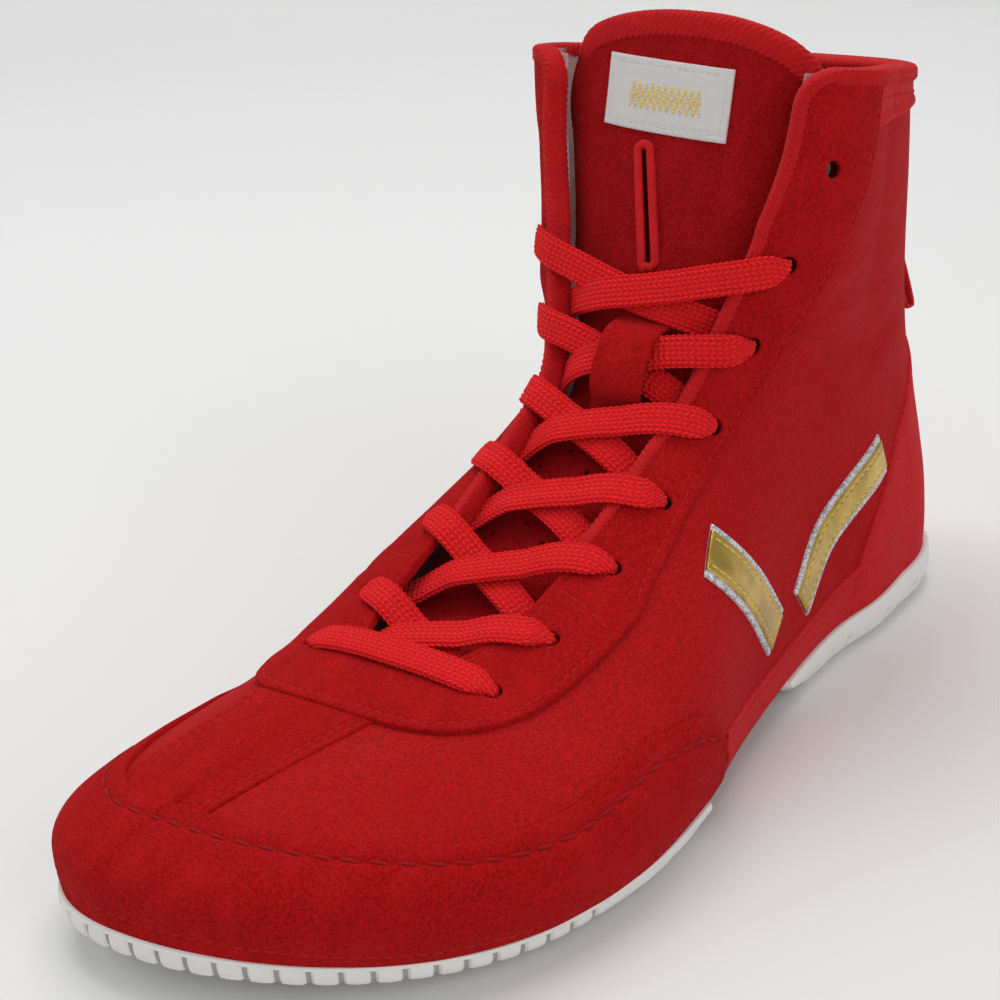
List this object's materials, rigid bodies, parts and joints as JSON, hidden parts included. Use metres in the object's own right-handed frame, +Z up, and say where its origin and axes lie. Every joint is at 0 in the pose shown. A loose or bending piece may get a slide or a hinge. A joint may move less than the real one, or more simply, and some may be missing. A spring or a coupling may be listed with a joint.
{
  "type": "boxing boot",
  "caption": "Left high-top lace-up boxing boot with a split rubber sole, suede-look guards, soft tongue and braided lace.",
  "frame": {"origin": "on the ground under the middle of the heel, 36 mm in front of the heel's back", "axes": "+Z up, toe towards -Y, outer (lateral) side of a left foot towards +X"},
  "size_m": [0.1146, 0.2878, 0.1728],
  "materials": {
    "sole_rubber": "matt off-white rubber with grey grooves",
    "suede": "deep red suede nap",
    "upper_microfibre": "fine red microfibre",
    "binding_tape": "red twill tape",
    "lace_braid": "bright red flat braid",
    "lining_cloth": "pale pink knit",
    "gold_film": "gold patent film",
    "edging_weave": "white and silver woven edging",
    "label_weave": "white woven label",
    "inner_board": "grey fibre board and foam",
    "aglet_plastic": "clear red film over the lace"
  },
  "bodies": {
    "root": {"outsole_forefoot": "sole_rubber", "outsole_heel": "sole_rubber", "throat_patch": "suede", "heel_cover": "suede", "quarter_lateral": "upper_microfibre", "quarter_medial": "upper_microfibre", "foxing_lateral": "upper_microfibre", "foxing_medial": "upper_microfibre", "arch_underside": "upper_microfibre", "lace": "lace_braid", "lining_lateral": "lining_cloth", "lining_medial": "lining_cloth", "sock_liner": "lining_cloth", "saddle_band": "gold_film", "heel_band": "gold_film", "saddle_edging": "edging_weave", "heel_edging": "edging_weave", "insole_board": "inner_board", "heel_pad": "inner_board", "heel_counter": "inner_board"},
    "toe": {"toe_guard": "suede", "toe_puff": "inner_board", "toe_strip": "suede"},
    "shaft": {"collar_band": "upper_microfibre", "collar_binding": "binding_tape", "collar_foam": "inner_board", "eyestay_lateral": "suede", "eyestay_medial": "suede", "eyelet_backer_lateral": "inner_board", "eyelet_backer_medial": "inner_board", "throat_binding_lateral": "binding_tape", "throat_binding_medial": "binding_tape", "aglet_lateral": "aglet_plastic", "aglet_medial": "aglet_plastic", "lace_keeper": "suede"},
    "tongue_top": {"tongue": "suede", "tongue_lining": "lining_cloth", "tongue_binding": "binding_tape", "tongue_label": "label_weave", "lace_slot_trim": "binding_tape"},
    "pull_tab": {"pull_tab": "upper_microfibre"}
  },
  "joints": [
    {"name": "toe_flex", "type": "hinge", "parent": "root", "child": "toe", "pos_m": [-0.008, -0.171, 0.008], "axis": [-1, 0, 0], "range_deg": [0, 35], "stiffness_Nm_per_rad": 1.5, "deforming": ["toe_guard", "toe_strip", "throat_patch", "outsole_forefoot", "insole_board", "sock_liner", "quarter_lateral", "quarter_medial", "lining_lateral", "lining_medial"]},
    {"name": "ankle_flex", "type": "hinge", "parent": "root", "child": "shaft", "pos_m": [0, -0.026, 0.075], "axis": [1, 0, 0], "range_deg": [-20, 20], "stiffness_Nm_per_rad": 1, "deforming": ["eyestay_lateral", "eyestay_medial", "eyelet_backer_lateral", "eyelet_backer_medial", "throat_binding_lateral", "throat_binding_medial", "lace", "lace_keeper"]},
    {"name": "tongue_fold", "type": "hinge", "parent": "shaft", "child": "tongue_top", "pos_m": [0, -0.071, 0.118], "axis": [1, 0, 0], "range_deg": [-8, 40], "stiffness_Nm_per_rad": 0.1, "deforming": ["tongue", "tongue_lining", "lace_slot_trim"]},
    {"name": "pull_tab_swing", "type": "hinge", "parent": "shaft", "child": "pull_tab", "pos_m": [0, 0.0279, 0.1055], "axis": [1, 0, 0], "range_deg": [0, 110], "stiffness_Nm_per_rad": 0.005}
  ]
}
